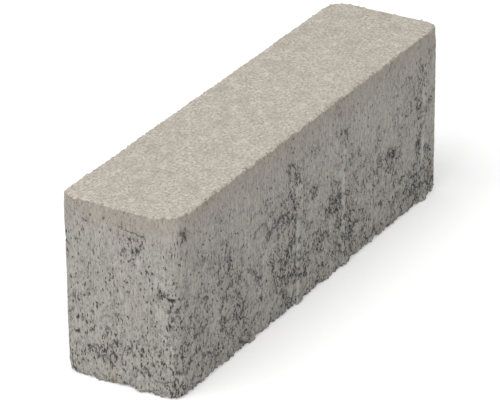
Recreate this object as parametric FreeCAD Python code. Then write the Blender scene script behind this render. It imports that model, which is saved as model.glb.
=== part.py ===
"""Narrow concrete paving block, pressed in one piece with vertical spacer ribs on its sides.

The block is made upright in a steel mould: a grey body mix with a thin layer of finer facing mix pressed onto
it while wet, so the two set as one stone. Its plan is a long rectangle with rounded corners, its sides are
plumb, and its top has no chamfer, only the slight round that a pressed arris has. Low ribs run up the sides from
the bed and stop well short of the top. They hold the joints open between neighbouring blocks. The pattern of
ribs is the same when the block is turned half round, so a block can be laid either way round.

Frame: millimetres, +Z up. The origin is at the middle of the bed face, +X runs along the block and +Y across it.
The front side faces -Y and the left end faces -X.
"""
import FreeCAD, Part
import math
import os

# Body, without the ribs
LENGTH = 198.0
WIDTH = 48.0
HEIGHT = 71.0             # sold as 70 thick, with 1 of its tolerance
CORNER_RADIUS = 5.0       # upright corners, as rounded by the mould
TOP_ARRIS_RADIUS = 0.8    # round where the pressing shoe met the mould wall
BED_ARRIS_RADIUS = 0.5    # round at the foot

# Section and height of every spacer rib
RIB_PROUD = 1.0           # how far a rib stands out from its side, half of a 2 mm joint
RIB_CROWN = 3.2           # width of the flat that a neighbour touches
RIB_FLANK = 0.6           # width of the slope on each side of that flat
RIB_TOP_DROP = 21.0       # from the top of the block down to where a rib has died into its side
RIB_RUNOUT = 3.0          # height over which its upper end slopes back

# Places of the ribs' centres
MIDDLE_RIBS_X = (-12.9, 21.9)   # two on the front side, from the middle of the block
CORNER_RIB_INSET = 13.1         # a third on the front side, in from the right end
END_RIB_INSET = 16.5            # one on the left end, in from the front side

UP = FreeCAD.Vector(0, 0, 1)
ORIGIN = FreeCAD.Vector(0, 0, 0)


def corner_arc(x, y, start):
    """A quarter circle of the plan's outline about a corner's centre, from the given angle in degrees."""
    def on_circle(degrees):
        turn = math.radians(degrees)
        return FreeCAD.Vector(x + CORNER_RADIUS * math.cos(turn), y + CORNER_RADIUS * math.sin(turn), 0)
    return Part.Arc(on_circle(start), on_circle(start + 45), on_circle(start + 90)).toShape()


def plan_outline():
    """The rounded rectangle of the block's plan, as one closed wire at the bed."""
    x = LENGTH / 2 - CORNER_RADIUS
    y = WIDTH / 2 - CORNER_RADIUS
    arcs = [corner_arc(x, y, 0), corner_arc(-x, y, 90), corner_arc(-x, -y, 180), corner_arc(x, -y, 270)]
    edges = []
    for arc, following in zip(arcs, arcs[1:] + arcs[:1]):
        edges.append(arc)
        edges.append(Part.makeLine(arc.Vertexes[-1].Point, following.Vertexes[0].Point))
    return Part.Wire(edges)


def body():
    """The block without ribs: the plan drawn up to the full height, with both arrises rounded."""
    block = Part.Face(plan_outline()).extrude(UP * HEIGHT)

    def arris(height):
        return [e for e in block.Edges if all(abs(v.Point.z - height) < 1e-6 for v in e.Vertexes)]

    block = block.makeFillet(TOP_ARRIS_RADIUS, arris(HEIGHT))
    return block.makeFillet(BED_ARRIS_RADIUS, arris(0.0))


def rib(x, y, outward):
    """A rib whose foot is centred at (x, y) on a side. outward is the side's direction, in degrees from +X."""
    crown = RIB_CROWN / 2
    foot = crown + RIB_FLANK
    bottom = BED_ARRIS_RADIUS
    top = HEIGHT - RIB_TOP_DROP
    shape = Part.makeWedge(-foot, 0, bottom, bottom, -crown, foot, RIB_PROUD, top, top - RIB_RUNOUT, crown)
    shape.rotate(ORIGIN, UP, outward - 90)
    shape.translate(FreeCAD.Vector(x, y, 0))
    return shape


def ribs():
    """Every rib: those of the front side and the left end, and the same again turned half round."""
    front = -WIDTH / 2
    made = [rib(x, front, 270) for x in (*MIDDLE_RIBS_X, LENGTH / 2 - CORNER_RIB_INSET)]
    made.append(rib(-LENGTH / 2, front + END_RIB_INSET, 180))
    for one in list(made):
        turned = one.copy()
        turned.rotate(ORIGIN, UP, 180)
        made.append(turned)
    return made


def paver_block():
    """The whole stone: the body and its ribs as one solid, with no seams left on its flat faces."""
    return body().multiFuse(ribs()).removeSplitter()


os.makedirs("parts", exist_ok=True)
paver_block().exportStep("parts/paver_block.step")
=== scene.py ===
import math

import bmesh
import bpy
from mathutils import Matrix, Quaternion, Vector


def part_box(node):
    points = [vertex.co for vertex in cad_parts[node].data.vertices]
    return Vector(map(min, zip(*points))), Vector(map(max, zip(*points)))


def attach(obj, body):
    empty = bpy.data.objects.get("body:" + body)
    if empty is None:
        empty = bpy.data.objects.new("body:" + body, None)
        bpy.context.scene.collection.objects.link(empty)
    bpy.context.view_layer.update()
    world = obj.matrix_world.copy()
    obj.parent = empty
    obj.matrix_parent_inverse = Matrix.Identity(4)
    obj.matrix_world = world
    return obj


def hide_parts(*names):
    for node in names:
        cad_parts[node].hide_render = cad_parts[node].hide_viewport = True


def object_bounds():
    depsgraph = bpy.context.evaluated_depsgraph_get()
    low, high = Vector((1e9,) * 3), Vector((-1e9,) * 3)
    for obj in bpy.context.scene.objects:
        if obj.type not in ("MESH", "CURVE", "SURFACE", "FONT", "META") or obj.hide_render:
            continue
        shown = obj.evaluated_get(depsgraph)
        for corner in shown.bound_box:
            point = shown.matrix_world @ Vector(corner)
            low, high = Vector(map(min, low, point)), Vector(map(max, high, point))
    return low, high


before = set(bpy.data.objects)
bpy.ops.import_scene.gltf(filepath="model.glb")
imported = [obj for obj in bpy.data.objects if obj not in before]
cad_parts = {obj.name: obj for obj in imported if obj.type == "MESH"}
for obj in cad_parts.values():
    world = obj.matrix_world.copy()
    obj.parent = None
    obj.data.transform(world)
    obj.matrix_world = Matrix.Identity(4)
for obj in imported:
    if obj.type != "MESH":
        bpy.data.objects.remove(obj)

cad_low, cad_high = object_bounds()


# ---- The camera -------------------------------------------------------------------------------------------
# A long lens, a good step away, looks down on one end and one side of the block. It is turned very slightly
# clockwise, as a camera held by hand is.
VIEW_AZIMUTH = math.radians(59.42)      # 0 looks along +Y, and this turns towards +X
VIEW_ELEVATION = math.radians(26.36)
VIEW_ROLL = math.radians(-0.54)
VIEW_DISTANCE = 1.266
LENS = 245.1

centre = (cad_low + cad_high) / 2
aim = centre + Vector((-0.009, -0.0009, 0))
looking = Vector((math.sin(VIEW_AZIMUTH) * math.cos(VIEW_ELEVATION),
                  math.cos(VIEW_AZIMUTH) * math.cos(VIEW_ELEVATION),
                  -math.sin(VIEW_ELEVATION)))
camera = bpy.data.objects.new("camera", bpy.data.cameras.new("camera"))
camera.data.sensor_width = 36
camera.data.lens = LENS
camera.location = aim - looking * VIEW_DISTANCE
camera.rotation_mode = "QUATERNION"
camera.rotation_quaternion = looking.to_track_quat("-Z", "Y") @ Quaternion((0, 0, 1), VIEW_ROLL)
bpy.context.scene.collection.objects.link(camera)
bpy.context.scene.camera = camera


# ---- The block --------------------------------------------------------------------------------------------
# One pressed stone: a grey body mix, open low down where it was least squeezed, under a thin beige facing
# of finer sand. Its sides dragged on the mould as it was pushed out, which left upright scratches and
# stretched pores. Its arrises are ragged, because it was handled while it was still weak.
MESH_SPACING = 0.0008
FACING_DEPTH = 0.4          # mm, how far the beige reaches down a side before it turns grey
BED_ROUGH_HEIGHT = 3.0      # mm, the ragged foot of the sides
BLOCK_HEIGHT = (cad_high.z - cad_low.z) * 1000
RIB_TOP = 50.0              # mm, where the ribs have died into the sides
RIB_PROUD = 1                   # mm, how far the ribs stand out
SIDE = cad_low.y * 1000 + RIB_PROUD     # mm, the flat of the front side, behind its ribs
END = cad_low.x * 1000 + RIB_PROUD      # mm, the flat of the left end

# Along, across, up and radius in mm of rougher and smoother places, and how much more open they are: first on
# the front side, then on the left end
ROUGH_SPOTS = (
    (END + 6, SIDE, 63, 4, 0.8), (END + 77, SIDE, 8, 5, 0.7), (END + 88, SIDE, 11, 4, 0.6),
    (END + 112, SIDE, 29, 6, 0.8), (END + 98, SIDE, 41, 4, 0.6), (END + 157, SIDE, 29, 6, 0.6),
    (END + 81, SIDE, 56, 6, 0.4), (END + 45, SIDE, 19, 5, 0.5), (END + 178, SIDE, 11, 9, 0.5),
    (END + 30, SIDE, 42, 12, 0.25), (END + 70, SIDE, 38, 11, 0.32), (END + 73, SIDE, 20, 10, 0.25),
    (END + 122, SIDE, 16, 12, 0.22), (END + 145, SIDE, 55, 16, -0.3), (END + 50, SIDE, 58, 16, -0.2),
    (END + 194, SIDE, 52, 13, -0.4), (END + 194, SIDE, 32, 12, -0.4), (END + 150, SIDE, 12, 14, -0.15),
    (END + 135, SIDE, 10, 14, -0.15), (END + 195, SIDE, 18, 12, -0.4), (END + 184, SIDE, 61, 6, 0.3),
    (END + 178, SIDE, 26, 12, -0.12), (END + 110, SIDE, 8, 14, -0.12),
    (END, SIDE + 29, 21.5, 2, 0.5), (END, SIDE + 5.5, 12.6, 3, 0.4), (END, SIDE + 18, 60, 6.5, 0.26),
    (END, SIDE + 15.5, 56, 3.5, 0.2), (END, SIDE + 8, 50, 9, -0.2), (END, SIDE + 26, 14, 34, -0.22),
    (END, SIDE + 36, 26, 14, -0.12), (END, SIDE + 26, 52, 20, -0.1), (END, SIDE + 14, 6, 8, 0.06))
# From and to (along, across, up), and half the width, in mm of cracks on and beside the left end
CRACKS = (
    ((END, SIDE + 24.5, 64), (END, SIDE + 13, 62), 0.34),
    ((END, SIDE + 13, 62), (END, SIDE + 15.8, 54), 0.3),
    ((END, SIDE + 38.2, 63.7), (END, SIDE + 36.2, 63), 0.35),
    ((END, SIDE + 7.5, 43), (END, SIDE + 5.4, 41), 0.35),
    ((END, SIDE + 5.4, 41), (END + 1, SIDE + 2, 39.2), 0.7),
    ((END + 1, SIDE + 2, 39.2), (END + 2.4, SIDE, 40), 0.6),
    ((END, SIDE + 42.4, 17.9), (END, SIDE + 41.6, 17.6), 1.0),
    ((END + 6.5, SIDE, 66), (END + 7.4, SIDE, 62), 0.5),
    ((END, SIDE + 11, 28), (END, SIDE + 7, 24.5), 0.22))
# The same for thin lines of lime
LIME_LINES = (
    ((END, SIDE + 7.1, 25.4), (END, SIDE + 3.4, 22.8), 0.4),
    ((END, SIDE + 3.4, 22.8), (END + 0.7, SIDE + 2.4, 18), 0.4))
# Along, across, up and radius in mm of chalky marks
CHALK_SPOTS = (
    (END, SIDE + 15.3, 52.2, 1.7), (END, SIDE + 7.2, 46.8, 2.4), (END, SIDE + 5, 44, 2.4),
    (END, SIDE + 6.9, 34.6, 3.2), (END, SIDE + 46, 68, 3), (END, SIDE + 15, 6, 4), (END + 113, SIDE, 53, 4),
    (END + 118, SIDE, 41, 4), (END + 183, SIDE, 16, 3), (END + 183, SIDE, 45, 3), (END + 80, SIDE, 8, 4))
# The same for tan stones and iron stains
TAN_SPOTS = (
    (END, SIDE + 26.7, 2.4, 2.0), (END + 154, SIDE, 0.5, 3), (END + 164, SIDE, 0.5, 3.5),
    (END + 52, SIDE, 1, 2))
# Along, across and up in mm of where the facing's fines ran further down
FINES_RUN = (END, SIDE + 18, 69)
# Along, across, radius and depth in mm of what has worn off the top corners
WORN_CORNERS = ((END, SIDE, 12, 2.2), (-END, SIDE, 8, 0.8), (-END, -SIDE, 9, 1.2), (END, -SIDE, 6, 0.3))


def add(tree, kind, inputs, out=0, **settings):
    """Adds a node with its settings, sets or links its inputs, and returns one output if it has any."""
    node = tree.nodes.new(kind)
    for name, value in settings.items():
        setattr(node, name, value)
    for key, value in inputs.items():
        if isinstance(value, bpy.types.NodeSocket):
            tree.links.new(value, node.inputs[key])
        else:
            node.inputs[key].default_value = value
    return node.outputs[out] if node.outputs else None


def linear(colour):
    """An sRGB hex colour as linear red, green, blue and full alpha."""
    parts = [int(colour[i:i + 2], 16) / 255 for i in (0, 2, 4)]
    return (*[p / 12.92 if p <= 0.04045 else ((p + 0.055) / 1.055) ** 2.4 for p in parts], 1.0)


def rib_centres():
    """The middle of each rib in plan, in millimetres, from the crowns of the frame node."""
    low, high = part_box("paver_block")
    points = [v.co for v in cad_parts["paver_block"].data.vertices]
    centres = []
    for axis, level in ((1, low.y), (1, high.y), (0, low.x), (0, high.x)):
        along = sorted({round(p[1 - axis] * 1000, 2) for p in points if abs(p[axis] - level) < 1e-5})
        for left, right in zip(along[::2], along[1::2]):
            centre = [level * 1000, level * 1000, 0.0]
            centre[1 - axis] = (left + right) / 2
            centres.append(centre)
    return centres


def near_line(tree, place, start, end, width):
    """1 on the line between two places, falling to 0 at the given distance from it."""
    run = Vector(end) - Vector(start)
    offset = add(tree, "ShaderNodeVectorMath", {0: place, 1: start}, operation="SUBTRACT")
    share = add(tree, "ShaderNodeVectorMath", {0: offset, 1: run / run.length_squared}, out=1,
                operation="DOT_PRODUCT")
    share = add(tree, "ShaderNodeMath", {0: share, 1: 0.0}, operation="ADD", use_clamp=True)
    nearest = add(tree, "ShaderNodeVectorMath", {0: run, "Scale": share}, operation="SCALE")
    distance = add(tree, "ShaderNodeVectorMath", {0: offset, 1: nearest}, out=1, operation="DISTANCE")
    return add(tree, "ShaderNodeMapRange", {0: distance, 1: width, 2: width * 0.5})


def wandering_place(tree, place):
    """The place shifted by up to a millimetre, so that a straight line drawn in it wanders."""
    shift = add(tree, "ShaderNodeTexNoise", {"Vector": place, "Scale": 0.5, "Detail": 3.0}, out=1)
    shift = add(tree, "ShaderNodeVectorMath", {0: shift, 1: (0.5, 0.5, 0.5)}, operation="SUBTRACT")
    return add(tree, "ShaderNodeVectorMath", {0: shift, 1: (3.0, 3.0, 3.0), 2: place},
               operation="MULTIPLY_ADD")


def body_mix_patterns(tree, place):
    """What the body mix's relief and colour both follow, from 0 to 1, at a place in millimetres."""
    # The mix is more open towards the foot, and in patches of a few centimetres.
    height = add(tree, "ShaderNodeSeparateXYZ", {0: place}, out=2)
    lowness = add(tree, "ShaderNodeMapRange", {0: height, 1: BLOCK_HEIGHT - 2, 2: 8.0, 3: 0.02, 4: 0.46})
    patches = add(tree, "ShaderNodeTexNoise", {"Vector": place, "Scale": 0.075, "Detail": 3.0})
    patches = add(tree, "ShaderNodeMath", {0: patches, 1: 1.3, 2: -0.65}, operation="MULTIPLY_ADD")
    openness = add(tree, "ShaderNodeMath", {0: lowness, 1: patches}, operation="ADD")

    # Over a few millimetres pores crowd together and leave closed paste between, more so towards the foot.
    crowds = add(tree, "ShaderNodeTexNoise", {"Vector": place, "Scale": 0.2, "Detail": 2.0, "Roughness": 0.6})
    crowds = add(tree, "ShaderNodeMapRange", {0: crowds, 1: 0.36, 2: 0.64, 3: -0.30, 4: 0.30})
    growing = add(tree, "ShaderNodeMath", {0: lowness, 1: 1.6, 2: 0.25}, operation="MULTIPLY_ADD")
    crowds = add(tree, "ShaderNodeMath", {0: crowds, 1: growing}, operation="MULTIPLY")
    openness = add(tree, "ShaderNodeMath", {0: openness, 1: crowds}, operation="ADD")

    # Beside each rib of the long sides the mix is starved in a strip, and just above its top in a patch.
    plan = add(tree, "ShaderNodeVectorMath", {0: place, 1: (1.0, 1.0, 0.0)}, operation="MULTIPLY")
    side_ribs = [centre for centre in rib_centres() if abs(centre[0]) < -END]
    from_rib = add(tree, "ShaderNodeVectorMath", {0: plan, 1: side_ribs[0]}, out=1, operation="DISTANCE")
    for centre in side_ribs[1:]:
        distance = add(tree, "ShaderNodeVectorMath", {0: plan, 1: centre}, out=1, operation="DISTANCE")
        from_rib = add(tree, "ShaderNodeMath", {0: from_rib, 1: distance}, operation="MINIMUM")
    beside = add(tree, "ShaderNodeMapRange", {0: from_rib, 1: 2.0, 2: 3.2})
    fading = add(tree, "ShaderNodeMapRange", {0: from_rib, 1: 9.0, 2: 4.0, 4: 0.24})
    strips = add(tree, "ShaderNodeMath", {0: beside, 1: fading}, operation="MULTIPLY")
    above = add(tree, "ShaderNodeMath", {0: height, 1: RIB_TOP + 4}, operation="SUBTRACT")
    above = add(tree, "ShaderNodeMath", {0: above, 1: above}, operation="MULTIPLY")
    above = add(tree, "ShaderNodeMath", {0: from_rib, 1: from_rib, 2: above}, operation="MULTIPLY_ADD")
    above = add(tree, "ShaderNodeMapRange", {0: above, 1: 36.0, 2: 6.0, 4: 0.40})
    starved = add(tree, "ShaderNodeMath", {0: strips, 1: above}, operation="MAXIMUM")
    openness = add(tree, "ShaderNodeMath", {0: openness, 1: starved}, operation="ADD")

    # A few places came out rougher than the rest, and a few smoother.
    for along, across, up, radius, change in ROUGH_SPOTS:
        spot = (along, across, up)
        distance = add(tree, "ShaderNodeVectorMath", {0: place, 1: spot}, out=1, operation="DISTANCE")
        near = add(tree, "ShaderNodeMapRange", {0: distance, 1: radius, 2: radius * 0.3, 4: change})
        openness = add(tree, "ShaderNodeMath", {0: openness, 1: near}, operation="ADD")
    openness = add(tree, "ShaderNodeMath", {0: openness, 1: 0.0}, operation="ADD", use_clamp=True)

    # Pin pores are under half a millimetre wide, pores about 0.8, and the mould drew both out upwards.
    drawn = add(tree, "ShaderNodeVectorMath", {0: place, 1: (1.0, 1.0, 0.42)}, operation="MULTIPLY")
    pores = None
    for scale, closed, opened, soft in ((1.25, 0.632, 0.530, 0.03), (0.75, 0.70, 0.56, 0.04)):
        grit = add(tree, "ShaderNodeTexNoise", {"Vector": drawn, "Scale": scale, "Detail": 2.0,
                                                "Roughness": 0.6})
        start = add(tree, "ShaderNodeMapRange", {0: openness, 1: 0.0, 2: 0.85, 3: closed, 4: opened})
        full = add(tree, "ShaderNodeMath", {0: start, 1: soft}, operation="ADD")
        some = add(tree, "ShaderNodeMapRange", {0: grit, 1: start, 2: full})
        pores = add(tree, "ShaderNodeMath", {0: pores, 1: some}, operation="MAXIMUM") if pores else some

    # Crevices run round the stones of the mix, which are 4 to 5 mm, where the paste didn't fill between them.
    bent = add(tree, "ShaderNodeTexNoise", {"Vector": place, "Scale": 0.5, "Detail": 3.0}, out=1)
    bent = add(tree, "ShaderNodeVectorMath", {0: bent, 1: (2.6, 2.6, 2.6), 2: drawn},
               operation="MULTIPLY_ADD")
    seams = add(tree, "ShaderNodeTexVoronoi", {"Vector": bent, "Scale": 0.3}, feature="DISTANCE_TO_EDGE")
    seams = add(tree, "ShaderNodeMapRange", {0: seams, 1: 0.12, 2: 0.03})
    broken = add(tree, "ShaderNodeTexNoise", {"Vector": place, "Scale": 0.45, "Detail": 2.0})
    broken = add(tree, "ShaderNodeMapRange", {0: broken, 1: 0.43, 2: 0.56})
    seams = add(tree, "ShaderNodeMath", {0: seams, 1: broken}, operation="MULTIPLY")
    crevices = add(tree, "ShaderNodeMapRange", {0: openness, 1: 0.12, 2: 0.5, 4: 0.9})
    crevices = add(tree, "ShaderNodeMath", {0: seams, 1: crevices}, operation="MULTIPLY")

    # A few thin cracks opened as the block was pushed out of the mould.
    wandering = wandering_place(tree, place)
    for start, end, width in CRACKS:
        crack = near_line(tree, wandering, start, end, width)
        crevices = add(tree, "ShaderNodeMath", {0: crevices, 1: crack}, operation="MAXIMUM")

    # Voids are a few millimetres across and rare.
    hollow = add(tree, "ShaderNodeTexNoise", {"Vector": drawn, "Scale": 0.34, "Detail": 3.0,
                                              "Roughness": 0.6})
    start = add(tree, "ShaderNodeMath", {0: openness, 1: -0.12, 2: 0.79}, operation="MULTIPLY_ADD")
    full = add(tree, "ShaderNodeMath", {0: start, 1: 0.07}, operation="ADD")
    voids = add(tree, "ShaderNodeMapRange", {0: hollow, 1: start, 2: full}, interpolation_type="SMOOTHSTEP")
    return openness, pores, crevices, voids


def block_blank():
    """The block's shell from its frame node, on an even grid fine enough to carry the relief."""
    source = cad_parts["paver_block"]
    merged = bmesh.new()
    merged.from_mesh(source.data)
    bmesh.ops.remove_doubles(merged, verts=merged.verts, dist=1e-6)
    mesh = bpy.data.meshes.new("block_shell")
    merged.to_mesh(mesh)
    merged.free()
    blank = bpy.data.objects.new("block_blank", mesh)
    bpy.context.scene.collection.objects.link(blank)
    grid = blank.modifiers.new("grid", "REMESH")
    grid.mode = "VOXEL"
    grid.voxel_size = MESH_SPACING
    return blank


def cast_relief_tree():
    """Pushes the shell in and out as the mix filled the mould, and stores each point's place before that."""
    tree = bpy.data.node_groups.new("cast_relief", "GeometryNodeTree")
    sizes = {"Waviness": 0.6, "Pore depth": 0.35, "Crevice depth": 0.7, "Void depth": 1.4,
             "Raggedness": 1.8, "Foot lumps": 2.2}
    tree.interface.new_socket("Geometry", in_out="INPUT", socket_type="NodeSocketGeometry")
    for name, value in sizes.items():
        socket = tree.interface.new_socket(name + " mm", in_out="INPUT", socket_type="NodeSocketFloat")
        socket.default_value = value
    material = tree.interface.new_socket("Material", in_out="INPUT", socket_type="NodeSocketMaterial")
    tree.interface.new_socket("Geometry", in_out="OUTPUT", socket_type="NodeSocketGeometry")
    given = tree.nodes.new("NodeGroupInput").outputs

    position = add(tree, "GeometryNodeInputPosition", {})
    normal = add(tree, "GeometryNodeInputNormal", {})
    place = add(tree, "ShaderNodeVectorMath", {0: position, "Scale": 1000.0}, operation="SCALE")
    openness, pores, crevices, voids = body_mix_patterns(tree, place)
    height = add(tree, "ShaderNodeSeparateXYZ", {0: place}, out=2)

    # Only the body mix is open. The facing above it is closed.
    below_facing = add(tree, "ShaderNodeMapRange",
                       {0: height, 1: BLOCK_HEIGHT - 0.4, 2: BLOCK_HEIGHT - 3.0})
    holes = add(tree, "ShaderNodeMath", {0: pores, 1: given["Pore depth mm"]}, operation="MULTIPLY")
    holes = add(tree, "ShaderNodeMath", {0: crevices, 1: given["Crevice depth mm"], 2: holes},
                operation="MULTIPLY_ADD")
    holes = add(tree, "ShaderNodeMath", {0: voids, 1: given["Void depth mm"], 2: holes},
                operation="MULTIPLY_ADD")
    holes = add(tree, "ShaderNodeMath", {0: holes, 1: below_facing}, operation="MULTIPLY")

    # The flat faces wave a little over a few centimetres.
    waves = add(tree, "ShaderNodeTexNoise", {"Vector": place, "Scale": 0.04, "Detail": 1.0})
    waves = add(tree, "ShaderNodeMath", {0: waves, 1: 0.5}, operation="SUBTRACT")
    waves = add(tree, "ShaderNodeMath", {0: waves, 1: given["Waviness mm"]}, operation="MULTIPLY")

    # Grains stand out by a tenth or two all over, and much more along the arris and the foot.
    top_edge = add(tree, "ShaderNodeMapRange", {0: height, 1: BLOCK_HEIGHT - 2.6, 2: BLOCK_HEIGHT - 0.6})
    upward = add(tree, "ShaderNodeSeparateXYZ", {0: normal}, out=2)
    steep = add(tree, "ShaderNodeMapRange", {0: upward, 1: 0.97, 2: 0.7})
    top_edge = add(tree, "ShaderNodeMath", {0: top_edge, 1: steep}, operation="MULTIPLY")
    foot = add(tree, "ShaderNodeMapRange", {0: height, 1: BED_ROUGH_HEIGHT, 2: 0.5, 4: 1.4})
    edges = add(tree, "ShaderNodeMath", {0: top_edge, 1: foot}, operation="MAXIMUM")
    edges = add(tree, "ShaderNodeMath", {0: edges, 1: 0.85, 2: 0.15}, operation="MULTIPLY_ADD")
    lumps = add(tree, "ShaderNodeTexNoise", {"Vector": place, "Scale": 0.55, "Detail": 3.0,
                                             "Roughness": 0.85})
    lumps = add(tree, "ShaderNodeMath", {0: lumps, 1: 0.54}, operation="SUBTRACT")
    lumps = add(tree, "ShaderNodeMath", {0: lumps, 1: edges}, operation="MULTIPLY")
    lumps = add(tree, "ShaderNodeMath", {0: lumps, 1: given["Raggedness mm"]}, operation="MULTIPLY")
    lumps = add(tree, "ShaderNodeMath", {0: lumps, 1: 2.0}, operation="MULTIPLY")

    # At the foot whole stones of the mix stick out or have come away.
    stones = add(tree, "ShaderNodeTexNoise", {"Vector": place, "Scale": 0.22, "Detail": 1.0})
    stones = add(tree, "ShaderNodeMath", {0: stones, 1: 0.52}, operation="SUBTRACT")
    stones = add(tree, "ShaderNodeMath", {0: stones, 1: foot}, operation="MULTIPLY")
    waves = add(tree, "ShaderNodeMath", {0: stones, 1: given["Foot lumps mm"], 2: waves},
                operation="MULTIPLY_ADD")

    push = add(tree, "ShaderNodeMath", {0: waves, 1: holes}, operation="SUBTRACT")
    push = add(tree, "ShaderNodeMath", {0: push, 1: lumps}, operation="ADD")
    push = add(tree, "ShaderNodeMath", {0: push, 1: 0.001}, operation="MULTIPLY")
    offset = add(tree, "ShaderNodeVectorMath", {0: normal, "Scale": push}, operation="SCALE")
    moved = add(tree, "ShaderNodeVectorMath", {0: position, 1: offset}, operation="ADD")

    # Wear moves the top corners inward, by 0.7 mm along each side for each millimetre of its depth.
    for along, across, radius, depth in WORN_CORNERS:
        corner = (along, across, BLOCK_HEIGHT)
        inward = (-math.copysign(0.0007, along), -math.copysign(0.0007, across), 0.0)
        distance = add(tree, "ShaderNodeVectorMath", {0: place, 1: corner}, out=1, operation="DISTANCE")
        worn = add(tree, "ShaderNodeMapRange", {0: distance, 1: radius, 2: 0.0, 4: depth},
                   interpolation_type="SMOOTHSTEP")
        worn = add(tree, "ShaderNodeVectorMath", {0: inward, "Scale": worn}, operation="SCALE")
        moved = add(tree, "ShaderNodeVectorMath", {0: moved, 1: worn}, operation="ADD")

    # Nothing reaches below the bed.
    lowest = (-1.0, -1.0, cad_low.z)
    moved = add(tree, "ShaderNodeVectorMath", {0: moved, 1: lowest}, operation="MAXIMUM")

    kept = add(tree, "GeometryNodeStoreNamedAttribute",
               {"Geometry": given["Geometry"], "Name": "cast_place", "Value": position},
               data_type="FLOAT_VECTOR", domain="POINT")
    kept = add(tree, "GeometryNodeSetPosition", {"Geometry": kept, "Position": moved})
    kept = add(tree, "GeometryNodeRealizeInstances", {"Geometry": kept})
    kept = add(tree, "GeometryNodeSetMaterial", {"Geometry": kept, "Material": given["Material"]})
    add(tree, "NodeGroupOutput", {"Geometry": kept})
    return tree, material.identifier


def bent_place(tree, place):
    """The place shifted by up to a millimetre or so, which makes straight-edged cells look like stones."""
    shift = add(tree, "ShaderNodeTexNoise", {"Vector": place, "Scale": 0.8, "Detail": 2.0}, out=1)
    return add(tree, "ShaderNodeVectorMath", {0: shift, 1: (2.0, 2.0, 2.0), 2: place},
               operation="MULTIPLY_ADD")


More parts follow.
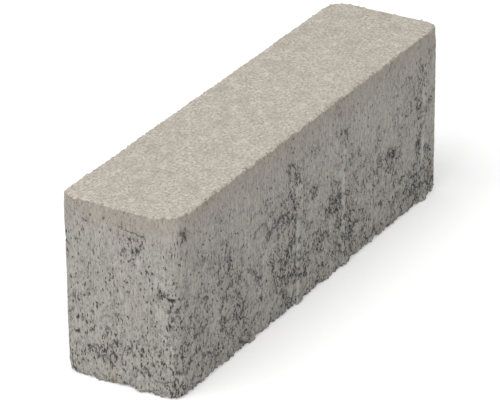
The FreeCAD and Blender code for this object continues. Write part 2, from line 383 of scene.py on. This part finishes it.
def pressed_concrete():
    """Vibrated concrete, matt: sandy beige above and grey below, with pores that light doesn't reach into."""
    material = bpy.data.materials.new("pressed_concrete")
    material.use_nodes = True
    tree = material.node_tree
    tree.nodes.clear()
    where = add(tree, "ShaderNodeAttribute", {}, out=1, attribute_name="cast_place")
    place = add(tree, "ShaderNodeVectorMath", {0: where, "Scale": 1000.0}, operation="SCALE")
    height = add(tree, "ShaderNodeSeparateXYZ", {0: place}, out=2)
    openness, pores, crevices, voids = body_mix_patterns(tree, place)
    drawn = add(tree, "ShaderNodeVectorMath", {0: place, 1: (1.0, 1.0, 0.4)}, operation="MULTIPLY")

    # Body mix: cement paste over sand of 0.3 to 1 mm, in soft upright scratches.
    sand = add(tree, "ShaderNodeTexNoise", {"Vector": drawn, "Scale": 1.4, "Detail": 3.0,
                                            "Roughness": 0.75})
    sand = add(tree, "ShaderNodeMapRange", {0: sand, 1: 0.34, 2: 0.58})
    grey = add(tree, "ShaderNodeMix", {0: sand, 6: linear("8e8a84"), 7: linear("b9b5ae")}, out=2,
               data_type="RGBA")
    scratched = add(tree, "ShaderNodeVectorMath", {0: place, 1: (1.0, 1.0, 0.05)}, operation="MULTIPLY")
    scratches = add(tree, "ShaderNodeTexNoise", {"Vector": scratched, "Scale": 1.1, "Detail": 2.0})
    scratches = add(tree, "ShaderNodeMapRange", {0: scratches, 1: 0.3, 2: 0.7, 3: 0.89, 4: 1.08})
    grey = add(tree, "ShaderNodeVectorMath", {0: grey, "Scale": scratches}, operation="SCALE")

    # Where the mix is open, little shadows between its grains darken it as a whole.
    shade = add(tree, "ShaderNodeTexNoise", {"Vector": drawn, "Scale": 0.8, "Detail": 4.0,
                                             "Roughness": 0.75})
    shade = add(tree, "ShaderNodeMapRange", {0: shade, 1: 0.42, 2: 0.68})
    shade = add(tree, "ShaderNodeMath", {0: shade, 1: openness}, operation="MULTIPLY")
    grey = add(tree, "ShaderNodeMix", {0: shade, 6: grey, 7: linear("918d87")}, out=2, data_type="RGBA")
    # Pores, crevices, cracks and voids are painted near black as well: painted shade in the hollows, which
    # the fine relief can't cast by itself.
    holes = add(tree, "ShaderNodeMath", {0: pores, 1: crevices}, operation="MAXIMUM")
    holes = add(tree, "ShaderNodeMath", {0: holes, 1: voids}, operation="MAXIMUM")
    holes = add(tree, "ShaderNodeMath", {0: holes, 1: 0.92}, operation="MULTIPLY")
    grey = add(tree, "ShaderNodeMix", {0: holes, 6: grey, 7: linear("33312e")}, out=2, data_type="RGBA")

    # The flanks of the ribs on the long sides are painted a little paler, here and there: a painted highlight
    # standing in for flanks that catch the light.
    across = add(tree, "ShaderNodeSeparateXYZ", {0: place}, out=1)
    proud = add(tree, "ShaderNodeMath", {0: across}, operation="ABSOLUTE")
    proud = add(tree, "ShaderNodeMath", {0: proud, 1: -SIDE}, operation="SUBTRACT")
    flank = add(tree, "ShaderNodeMapRange", {0: proud, 1: 0.15, 2: 0.5})
    crown = add(tree, "ShaderNodeMapRange", {0: proud, 1: 0.8, 2: 0.97, 3: 1.0, 4: 0.1})
    flank_highlight = add(tree, "ShaderNodeMath", {0: flank, 1: crown}, operation="MULTIPLY")
    here = add(tree, "ShaderNodeTexNoise", {"Vector": drawn, "Scale": 0.22, "Detail": 3.0})
    here = add(tree, "ShaderNodeMapRange", {0: here, 1: 0.40, 2: 0.62, 3: 0.08, 4: 0.6})
    flank_highlight = add(tree, "ShaderNodeMath", {0: flank_highlight, 1: here}, operation="MULTIPLY")
    grey = add(tree, "ShaderNodeMix", {0: flank_highlight, 6: grey, 7: linear("cbc9c3")}, out=2, data_type="RGBA")

    # Now and then a tan stone of the mix shows through, mostly near the foot.
    stones = add(tree, "ShaderNodeTexVoronoi", {"Vector": bent_place(tree, place), "Scale": 0.42}, out=1)
    picked = add(tree, "ShaderNodeSeparateColor", {0: stones})
    picked = add(tree, "ShaderNodeMapRange", {0: picked, 1: 0.955, 2: 0.97, 4: 0.7})
    picked = add(tree, "ShaderNodeMath", {0: picked, 1: openness}, operation="MULTIPLY")
    grey = add(tree, "ShaderNodeMix", {0: picked, 6: grey, 7: linear("aa9f8c")}, out=2, data_type="RGBA")

    # Lime has dried to chalky smears in a few places.
    smears = add(tree, "ShaderNodeVectorMath", {0: place, 1: (1.0, 1.0, 0.3)}, operation="MULTIPLY")
    chalk = add(tree, "ShaderNodeTexNoise", {"Vector": smears, "Scale": 0.3, "Detail": 4.0,
                                             "Roughness": 0.65})
    for along, across, up, radius in CHALK_SPOTS:
        spot = (along, across, up)
        distance = add(tree, "ShaderNodeVectorMath", {0: place, 1: spot}, out=1, operation="DISTANCE")
        near = add(tree, "ShaderNodeMapRange", {0: distance, 1: radius * 1.3, 2: 0.0, 4: 0.24})
        chalk = add(tree, "ShaderNodeMath", {0: chalk, 1: near}, operation="ADD")
    chalk = add(tree, "ShaderNodeMapRange", {0: chalk, 1: 0.62, 2: 0.74, 3: 0.0, 4: 0.6})
    grey = add(tree, "ShaderNodeMix", {0: chalk, 6: grey, 7: linear("c4c2bd")}, out=2, data_type="RGBA")
    wandering = wandering_place(tree, place)
    for start, end, width in LIME_LINES:
        line = near_line(tree, wandering, start, end, width)
        line = add(tree, "ShaderNodeMath", {0: line, 1: 0.7}, operation="MULTIPLY")
        grey = add(tree, "ShaderNodeMix", {0: line, 6: grey, 7: linear("d2d0cb")}, out=2, data_type="RGBA")

    # A tan stone shows at the foot of the end, and iron has stained the foot of the front side.
    for along, across, up, radius in TAN_SPOTS:
        spot = (along, across, up)
        distance = add(tree, "ShaderNodeVectorMath", {0: wandering, 1: spot}, out=1, operation="DISTANCE")
        near = add(tree, "ShaderNodeMapRange", {0: distance, 1: radius, 2: radius * 0.4, 4: 0.45})
        grey = add(tree, "ShaderNodeMix", {0: near, 6: grey, 7: linear("ab9a7c")}, out=2, data_type="RGBA")

    # Facing: beige sand with small pale patches and sparse dark grains.
    grains = add(tree, "ShaderNodeTexNoise", {"Vector": place, "Scale": 0.9, "Detail": 4.0,
                                              "Roughness": 0.85})
    grains = add(tree, "ShaderNodeMapRange", {0: grains, 1: 0.38, 2: 0.62})
    beige = add(tree, "ShaderNodeMix", {0: grains, 6: linear("a69e92"), 7: linear("dfd7ca")}, out=2,
                data_type="RGBA")
    patches = add(tree, "ShaderNodeTexNoise", {"Vector": place, "Scale": 0.24, "Detail": 3.0})
    patches = add(tree, "ShaderNodeMapRange", {0: patches, 1: 0.52, 2: 0.70, 3: 0.0, 4: 0.6})
    beige = add(tree, "ShaderNodeMix", {0: patches, 6: beige, 7: linear("dfd9ce")}, out=2, data_type="RGBA")
    muddy = add(tree, "ShaderNodeTexNoise", {"Vector": place, "Scale": 0.13, "Detail": 4.0,
                                             "Roughness": 0.65})
    muddy = add(tree, "ShaderNodeMapRange", {0: muddy, 1: 0.48, 2: 0.68, 3: 0.0, 4: 0.45})
    beige = add(tree, "ShaderNodeMix", {0: muddy, 6: beige, 7: linear("aaa092")}, out=2, data_type="RGBA")
    specks = add(tree, "ShaderNodeTexVoronoi", {"Vector": place, "Scale": 0.55})
    specks = add(tree, "ShaderNodeMapRange", {0: specks, 1: 0.20, 2: 0.12, 3: 0.0, 4: 0.6})
    beige = add(tree, "ShaderNodeMix", {0: specks, 6: beige, 7: linear("7d766b")}, out=2, data_type="RGBA")

    # The facing ends at an uneven line just under the arris, and its fines tint the grey for a few more mm.
    uneven = add(tree, "ShaderNodeTexNoise", {"Vector": place, "Scale": 0.25, "Detail": 5.0,
                                              "Roughness": 0.75})
    uneven = add(tree, "ShaderNodeMath", {0: uneven, 1: 0.5}, operation="SUBTRACT")
    level = add(tree, "ShaderNodeMath", {0: uneven, 1: 3.4, 2: height}, operation="MULTIPLY_ADD")
    line = BLOCK_HEIGHT - FACING_DEPTH
    faced = add(tree, "ShaderNodeMapRange", {0: level, 1: line - 0.15, 2: line + 0.15})
    flat_top = add(tree, "ShaderNodeMapRange", {0: height, 1: BLOCK_HEIGHT - 0.45, 2: BLOCK_HEIGHT - 0.15})
    faced = add(tree, "ShaderNodeMath", {0: faced, 1: flat_top}, operation="MAXIMUM")
    washed = add(tree, "ShaderNodeVectorMath", {0: place, 1: FINES_RUN}, out=1, operation="DISTANCE")
    washed = add(tree, "ShaderNodeMapRange", {0: washed, 1: 14.0, 2: 0.0, 4: 7.0})
    washed = add(tree, "ShaderNodeMath", {0: washed, 1: level}, operation="ADD")
    tinted = add(tree, "ShaderNodeMapRange", {0: washed, 1: line - 12, 2: line, 3: 0.0, 4: 0.5})
    grey = add(tree, "ShaderNodeMix", {0: tinted, 6: grey, 7: linear("a69c8d")}, out=2, data_type="RGBA")
    colour = add(tree, "ShaderNodeMix", {0: faced, 6: grey, 7: beige}, out=2, data_type="RGBA")

    # Loose grit, darker than both, sits along the arris where crumbs of facing broke off.
    grit = add(tree, "ShaderNodeTexNoise", {"Vector": place, "Scale": 0.8, "Detail": 2.0, "Roughness": 0.7})
    grit = add(tree, "ShaderNodeMapRange", {0: grit, 1: 0.56, 2: 0.62})
    arris = add(tree, "ShaderNodeMath", {0: level, 1: line}, operation="SUBTRACT")
    arris = add(tree, "ShaderNodeMath", {0: arris}, operation="ABSOLUTE")
    arris = add(tree, "ShaderNodeMapRange", {0: arris, 1: 1.1, 2: 0.4, 4: 0.65})
    below_top = add(tree, "ShaderNodeMapRange", {0: height, 1: BLOCK_HEIGHT + 0.1, 2: BLOCK_HEIGHT - 0.1})
    arris = add(tree, "ShaderNodeMath", {0: arris, 1: below_top}, operation="MULTIPLY")
    grit = add(tree, "ShaderNodeMath", {0: grit, 1: arris}, operation="MULTIPLY")
    colour = add(tree, "ShaderNodeMix", {0: grit, 6: colour, 7: linear("8a7c68")}, out=2, data_type="RGBA")

    # Fine relief, too small for the mesh: sand grains, and pores in the body mix.
    bare = add(tree, "ShaderNodeMath", {0: 1.0, 1: faced}, operation="SUBTRACT")
    dents = add(tree, "ShaderNodeMath", {0: holes, 1: bare}, operation="MULTIPLY")
    relief = add(tree, "ShaderNodeMath", {0: grains, 1: 0.35}, operation="MULTIPLY")
    relief = add(tree, "ShaderNodeMath", {0: relief, 1: dents}, operation="SUBTRACT")
    bumps = add(tree, "ShaderNodeBump", {"Height": relief, "Strength": 0.6, "Distance": 0.0004})
    surface = add(tree, "ShaderNodeBsdfPrincipled", {"Base Color": colour, "Roughness": 0.9, "Normal": bumps})
    add(tree, "ShaderNodeOutputMaterial", {"Surface": surface})
    return material


blank = block_blank()
relief = blank.modifiers.new("relief", "NODES")
relief.node_group, material_input = cast_relief_tree()
concrete = pressed_concrete()
relief[material_input] = concrete
evaluated = blank.evaluated_get(bpy.context.evaluated_depsgraph_get())
stone_mesh = bpy.data.meshes.new_from_object(evaluated)
stone_mesh.name = "paver_stone"
bpy.data.objects.remove(blank)
stone = bpy.data.objects.new("paver_stone", stone_mesh)
bpy.context.scene.collection.objects.link(stone)
for polygon in stone_mesh.polygons:
    polygon.use_smooth = True
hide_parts("paver_block")
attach(stone, "root")


# ---- The floor --------------------------------------------------------------------------------------------
# A plain white studio sheet, matt, which the block stands on. The eye sees it blown out to white where it is
# lit, and a soft grey where the block keeps the light off it.
FLOOR_HALF = 4.0


def seen_straight(tree):
    """1 for rays that show a surface to the camera, by itself, in a reflection or through glass."""
    rays = tree.nodes.new("ShaderNodeLightPath").outputs
    straight = add(tree, "ShaderNodeMath", {0: rays["Is Camera Ray"], 1: rays["Is Glossy Ray"]},
                   operation="MAXIMUM")
    return add(tree, "ShaderNodeMath", {0: straight, 1: rays["Is Transmission Ray"]}, operation="MAXIMUM")


floor_mesh = bpy.data.meshes.new("floor")
corners = [(x * FLOOR_HALF, y * FLOOR_HALF, 0) for x, y in ((-1, -1), (1, -1), (1, 1), (-1, 1))]
floor_mesh.from_pydata(corners, [], [(0, 1, 2, 3)])
floor = bpy.data.objects.new("floor", floor_mesh)
bpy.context.scene.collection.objects.link(floor)
sheet = bpy.data.materials.new("studio_sheet")
sheet.use_nodes = True
tree = sheet.node_tree
tree.nodes.clear()
matt_white = add(tree, "ShaderNodeBsdfDiffuse", {"Color": linear("e8e8e8")})
glow = add(tree, "ShaderNodeEmission", {"Strength": 0.35})
seen = add(tree, "ShaderNodeAddShader", {0: matt_white, 1: glow})
either = add(tree, "ShaderNodeMixShader", {0: seen_straight(tree), 1: matt_white, 2: seen})
add(tree, "ShaderNodeOutputMaterial", {"Surface": either})
floor_mesh.materials.append(sheet)


# ---- The light --------------------------------------------------------------------------------------------
# A white room gives half of the light. A large soft lamp, high up beyond the left end, makes the top the
# brightest face, and a low one keeps the feet of the end and the front side from going dark.
ROOM_LEVEL = 0.55
LAMP_DISTANCE = 2.4
# Where from, how wide in metres, and its power
LAMPS = {"key": (Vector((-0.5, 0.12, 1.0)), 1.35, 25.4),
         "fill": (Vector((-0.85, -0.42, 0.3)), 1.8, 10.2)}

world = bpy.data.worlds.new("white_room")
world.use_nodes = True
bpy.context.scene.world = world
tree = world.node_tree
tree.nodes.clear()
lit = add(tree, "ShaderNodeBackground", {"Strength": ROOM_LEVEL, "Color": (1, 1, 1, 1)})
shown = add(tree, "ShaderNodeBackground", {"Strength": 1.0, "Color": (1, 1, 1, 1)})
either = add(tree, "ShaderNodeMixShader", {0: seen_straight(tree), 1: lit, 2: shown})
add(tree, "ShaderNodeOutputWorld", {"Surface": either})

for name, (direction, width, power) in LAMPS.items():
    lamp = bpy.data.objects.new(name, bpy.data.lights.new(name, "AREA"))
    lamp.data.size = width
    lamp.data.energy = power
    lamp.location = centre + direction.normalized() * LAMP_DISTANCE
    lamp.rotation_mode = "QUATERNION"
    lamp.rotation_quaternion = (-direction).to_track_quat("-Z", "Y")
    bpy.context.scene.collection.objects.link(lamp)
bpy.context.scene.view_settings.view_transform = "Standard"
